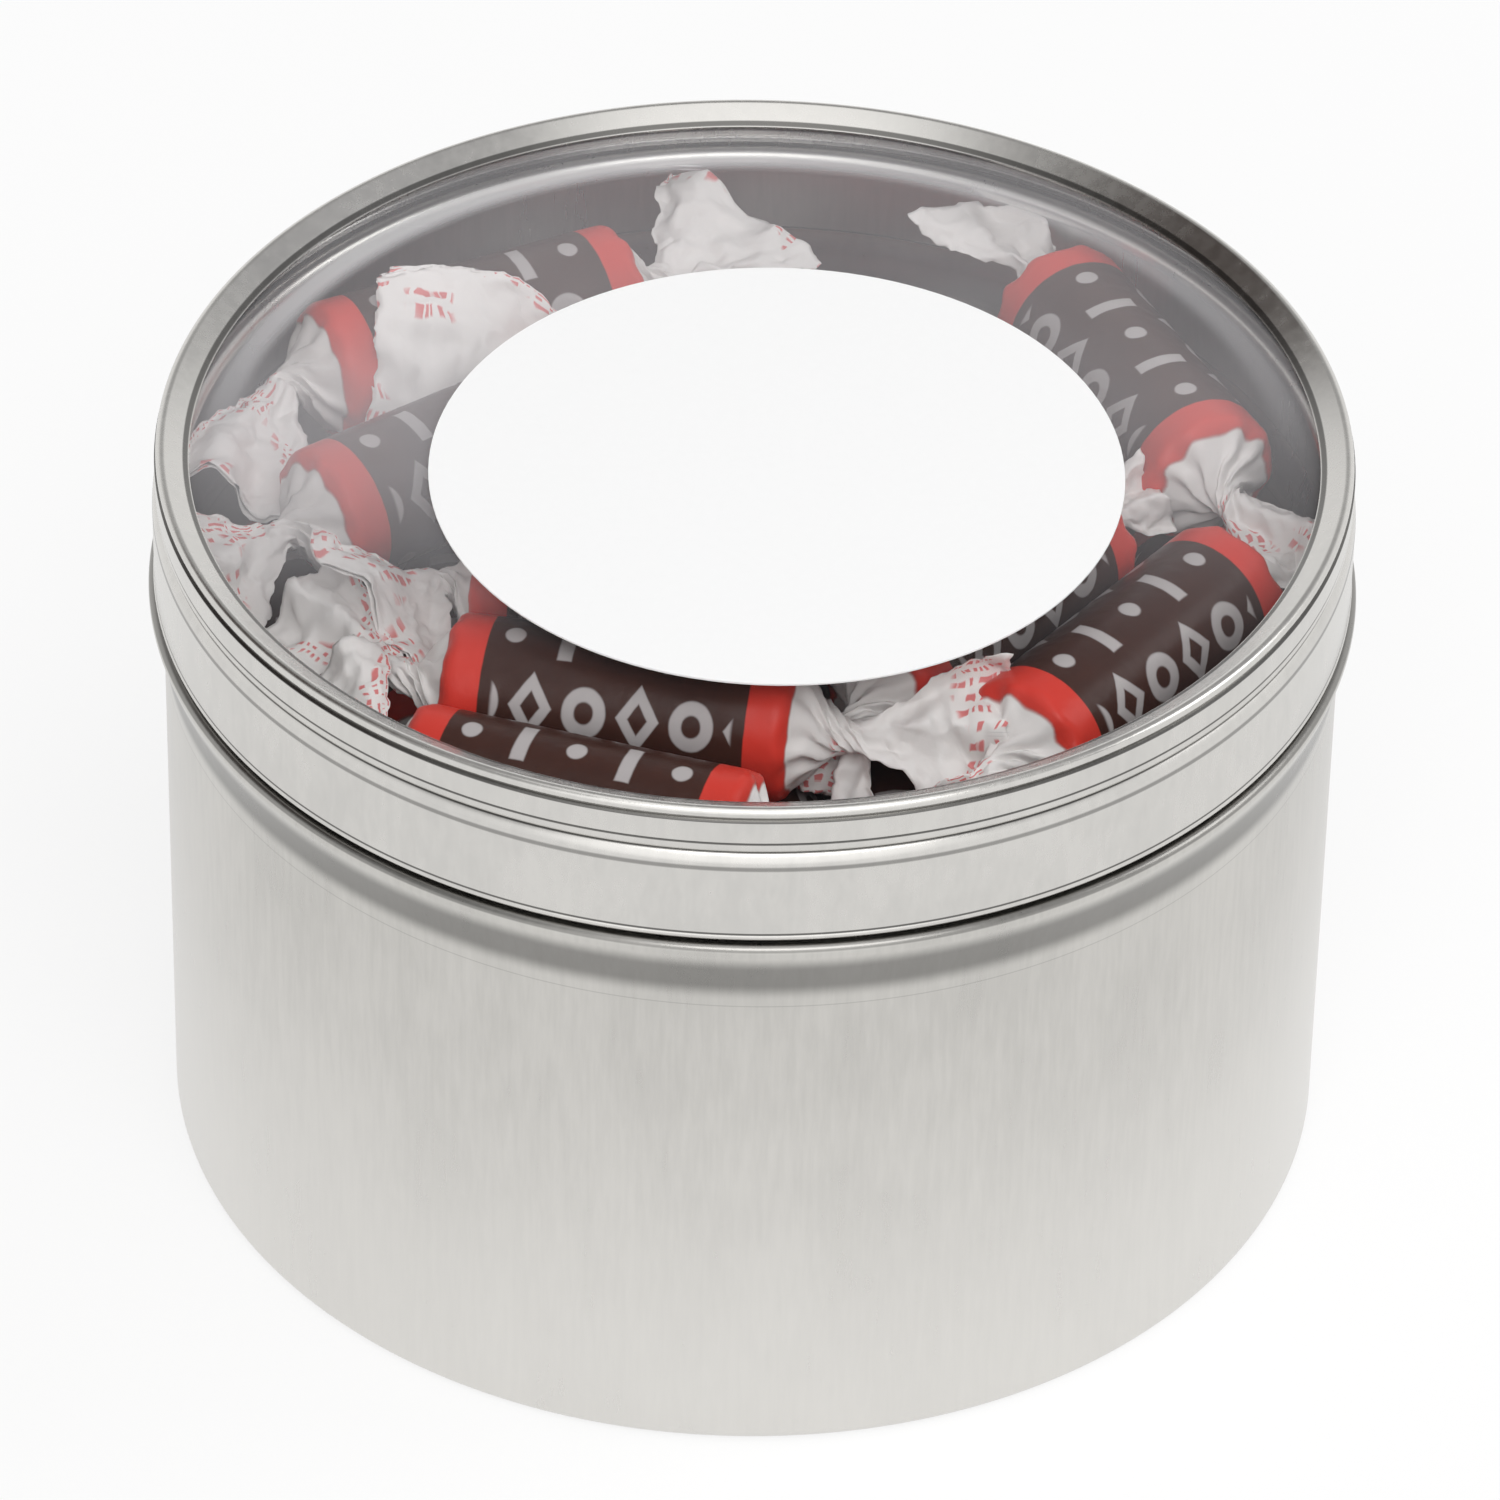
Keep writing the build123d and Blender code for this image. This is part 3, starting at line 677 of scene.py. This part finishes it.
def paperPoint(form, centre, azimuth, ends, spines, s, angle, seed):
    side, number = (-1, 0) if s < 0 else (1, 1)
    end, half = ends[number], form["half"]
    body = Vector((cos(radians(azimuth)), sin(radians(azimuth)), 0))
    acrossBody = Vector((-body.y, body.x, 0))
    beyond = abs(s) - half
    if beyond <= 0:
        middle, way = body * s, body * side
    else:
        offset, way = spineAt(form, spines[number], beyond)
        middle = body * (side * half) + offset
    across = (acrossBody - way * acrossBody.dot(way)).normalized()
    up = (way * side).cross(across).normalized()
    x, y, opened = paperSection(form, end, side, half - abs(s), beyond, angle, seed)
    point = middle + across * x + up * y
    rough = noise.noise_vector(point * form["crumpleScale"] + Vector((seed * form["crumpleShift"], seed, 0)))
    point += rough * form["crumple"] * opened
    fine = noise.noise_vector(point * form["wrinkleScale"] + Vector((seed * form["wrinkleShift"], 0, seed)))
    wrinkled = smoothStep(form["wrinkleStart"], end["cone"], beyond)
    point += fine * (form["wrinkleLeast"] + form["wrinkleMore"] * wrinkled)
    return pressInside(centre + point)


def pressInside(point):
    # paper that would pass the window or the neck is pressed flat against it
    if point.z > room["ceiling"]:
        excess = (room["ceiling"] - point.z) / room["giveOver"]
        point.z = room["ceiling"] + room["ceilingGive"] * (1 - exp(excess))
    reach = sqrt(point.x ** 2 + point.y ** 2)
    if reach > room["side"]:
        held = room["side"] + room["sideGive"] * (1 - exp((room["side"] - reach) / room["giveOver"]))
        point.x *= held / reach
        point.y *= held / reach
    return point


def rollPaper(name, centre, azimuth, ends, form, seed):
    # a flat sheet whose points are carried round the chew, so its UV keeps the paper's print
    bpy.ops.object.select_all(action="DESELECT")
    bpy.ops.mesh.primitive_grid_add(x_subdivisions=form["rings"], y_subdivisions=form["sides"], size=2)
    sheet = bpy.context.object
    sheet.name = name
    mesh = sheet.data
    uv = mesh.uv_layers.new(name="paper")
    reach = [form["half"] + end["cone"] + form["knotLength"] + end["length"] for end in ends]
    spines = [endSpine(form, ends[0], azimuth, -1), endSpine(form, ends[1], azimuth, 1)]
    places = []
    for vertex in mesh.vertices:
        u, v = vertex.co.x, vertex.co.y
        places.append((u * (reach[1] if u > 0 else reach[0]), (v + 1) * pi))
    for loop in mesh.loops:
        s, angle = places[loop.vertex_index]
        uv.data[loop.index].uv = (0.5 + s / paperLook["lengthMm"], angle / (2 * pi))
    for vertex, (s, angle) in zip(mesh.vertices, places):
        vertex.co = paperPoint(form, centre, azimuth, ends, spines, s, angle, seed) * mm
    bpy.ops.object.mode_set(mode="EDIT")
    bpy.ops.mesh.select_all(action="SELECT")
    bpy.ops.mesh.remove_doubles(threshold=form["weld"])
    bpy.ops.mesh.normals_make_consistent(inside=False)
    bpy.ops.object.mode_set(mode="OBJECT")
    if form["paper"] > 0:
        thick = sheet.modifiers.new("paper thickness", "SOLIDIFY")
        thick.thickness = form["paper"] * mm
        thick.offset = -1
        bpy.ops.object.modifier_apply(modifier=thick.name)
    bpy.ops.object.shade_smooth()
    dress(sheet, waxPaper)
    return sheet


for number, (name, (acrossShare, alongShare, azimuth, *twoEnds)) in enumerate(sweets.items()):
    centre = Vector((acrossShare * room["radius"], alongShare * room["radius"], room["axisHeight"]))
    ends = [dict(zip(endParts, end)) for end in twoEnds]
    seed = sweetForm["seedStep"] * number + sweetForm["seedStart"]
    wrapper = rollPaper(name + "_paper", centre, azimuth, ends, sweetForm, seed)
    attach(wrapper, "tin")
    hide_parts(name + "_wrapper")
print("sweets under the window wrapped")

# the layers below, with the same paper in a lighter mesh with no thickness
layerForm = dict(sweetForm, rings=60, sides=30, paper=0)
layers = {"count": 4, "firstAxis": 7.35, "pitch": 13.0, "gap": 0.3, "overall": 45.2, "rowsEachSide": 3,
          "end": (0, 0, 10, 3.2, 3.4, 2.6), "seatSeed": 2.1, "layerSeed": 5.3}


def layerSweets(index):
    places = []
    for row in range(-layers["rowsEachSide"], layers["rowsEachSide"] + 1):
        rowY = row * layers["pitch"]
        seatRun = layers["overall"] + layers["gap"]
        count = int(2 * sqrt(room["radius"] ** 2 - rowY ** 2) // seatRun)
        for seat in range(count):
            places.append(((seat - (count - 1) / 2) * seatRun, rowY))
    if index % 2:
        places = [(-y, x) for x, y in places]
    return places


for index in range(layers["count"]):
    made = []
    ends = [dict(zip(endParts, layers["end"]))] * 2
    for seat, (x, y) in enumerate(layerSweets(index)):
        centre = Vector((x, y, layers["firstAxis"] + index * layers["pitch"]))
        seed = layers["seatSeed"] * seat + layers["layerSeed"] * index
        made.append(rollPaper("layer_sheet", centre, 90.0 * (index % 2), ends, layerForm, seed))
    bpy.ops.object.select_all(action="DESELECT")
    for sheet in made:
        sheet.select_set(True)
    bpy.context.view_layer.objects.active = made[0]
    bpy.ops.object.join()
    layer = bpy.context.object
    layer.name = "layer_" + str(index + 1) + "_papers"
    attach(layer, "tin")
    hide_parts("layer_" + str(index + 1) + "_wrappers")
print("layers below wrapped")

# floor and room. The lift is how much of the floor is plain white to the camera and in
# reflections. Each patch of the room is its direction, the degrees from there at which its
# soft edge ends and at which it is full, and its colour
roomLook = {"floorColour": (0.94, 0.94, 0.94), "floorSize": 8, "floorDrop": 0.0002, "floorRough": 0.9,
            "floorSpecular": 0.1, "lift": 0.75,
            "horizon": (1.0, 1.0, 1.0), "upper": (0.40, 0.40, 0.40), "upperRange": (0.40, 0.60),
            "patches": {"dark back left": ((-0.60, 0.36, 0.71), 24, 14, (0.06, 0.045, 0.04)),
                        "bright front": ((0.0, -0.90, 0.44), 36, 27, (1.4, 1.4, 1.4)),
                        "grey back right": ((0.60, 0.30, 0.74), 26, 12, (0.48, 0.48, 0.49)),
                        "bright overhead": ((0.0, -0.14, 0.99), 24, 14, (1.4, 1.4, 1.4))}}


def layFloor(look):
    bpy.ops.object.select_all(action="DESELECT")
    bpy.ops.mesh.primitive_plane_add(size=look["floorSize"], location=(0, 0, -look["floorDrop"]))
    floor = bpy.context.object
    floor.name = "floor"
    mat, tree, shader = newMaterial("floor_white")
    setInputs(shader, {"Base Color": (*look["floorColour"], 1), "Roughness": look["floorRough"],
                       "Specular IOR Level": look["floorSpecular"]})
    white = addNode(tree, "ShaderNodeEmission")
    white.inputs["Strength"].default_value = 1.0
    seen = addNode(tree, "ShaderNodeLightPath")
    rays = mathNode(tree, "MAXIMUM", seen.outputs["Is Camera Ray"], seen.outputs["Is Glossy Ray"])
    rays = mathNode(tree, "MAXIMUM", rays, seen.outputs["Is Transmission Ray"])
    mixSurface(tree, times(tree, rays, look["lift"]), shader.outputs[0], white.outputs[0])
    floor.data.materials.append(mat)


def lightRoom(look):
    # a pale room, brighter near the horizon than above it, with patches that the metal mirrors
    world = bpy.data.worlds.new("studio")
    bpy.context.scene.world = world
    world.use_nodes = True
    tree = world.node_tree
    direction = addNode(tree, "ShaderNodeTexCoord").outputs["Generated"]
    above = rampMask(tree, splitVector(tree, direction)[2], *look["upperRange"])
    colour = mixColour(tree, above, look["horizon"], look["upper"])
    for heading, softEnd, full, shade in look["patches"].values():
        facing = addNode(tree, "ShaderNodeVectorMath", operation="DOT_PRODUCT")
        tree.links.new(direction, facing.inputs[0])
        facing.inputs[1].default_value = Vector(heading).normalized()
        inside = rampMask(tree, facing.outputs["Value"], cos(radians(softEnd)), cos(radians(full)))
        colour = mixColour(tree, inside, colour, shade)
    back = tree.nodes["Background"]
    tree.links.new(colour, back.inputs["Color"])
    back.inputs["Strength"].default_value = 1.0


layFloor(roomLook)
lightRoom(roomLook)

# place, size and watts of each lamp
softLamps = {"front_softbox": ((0.15, -0.75, 1.0), (0.8, 0.5), 4.1),
             "side_softbox": ((1.0, 0.1, 0.8), (0.5, 0.5), 2.4)}
lampTarget = (0, 0, 0.03)


def softLamp(name, place, size, power):
    bpy.ops.object.light_add(type="AREA", location=place)
    lamp = bpy.context.object
    lamp.name = name
    lamp.data.shape = "RECTANGLE"
    lamp.data.size, lamp.data.size_y = size
    lamp.data.energy = power
    lamp.rotation_euler = (Vector(lampTarget) - Vector(place)).to_track_quat("-Z", "Y").to_euler()


for name, (place, size, power) in softLamps.items():
    softLamp(name, place, size, power)
print("room lit")

bpy.context.scene.view_settings.view_transform = "Standard"
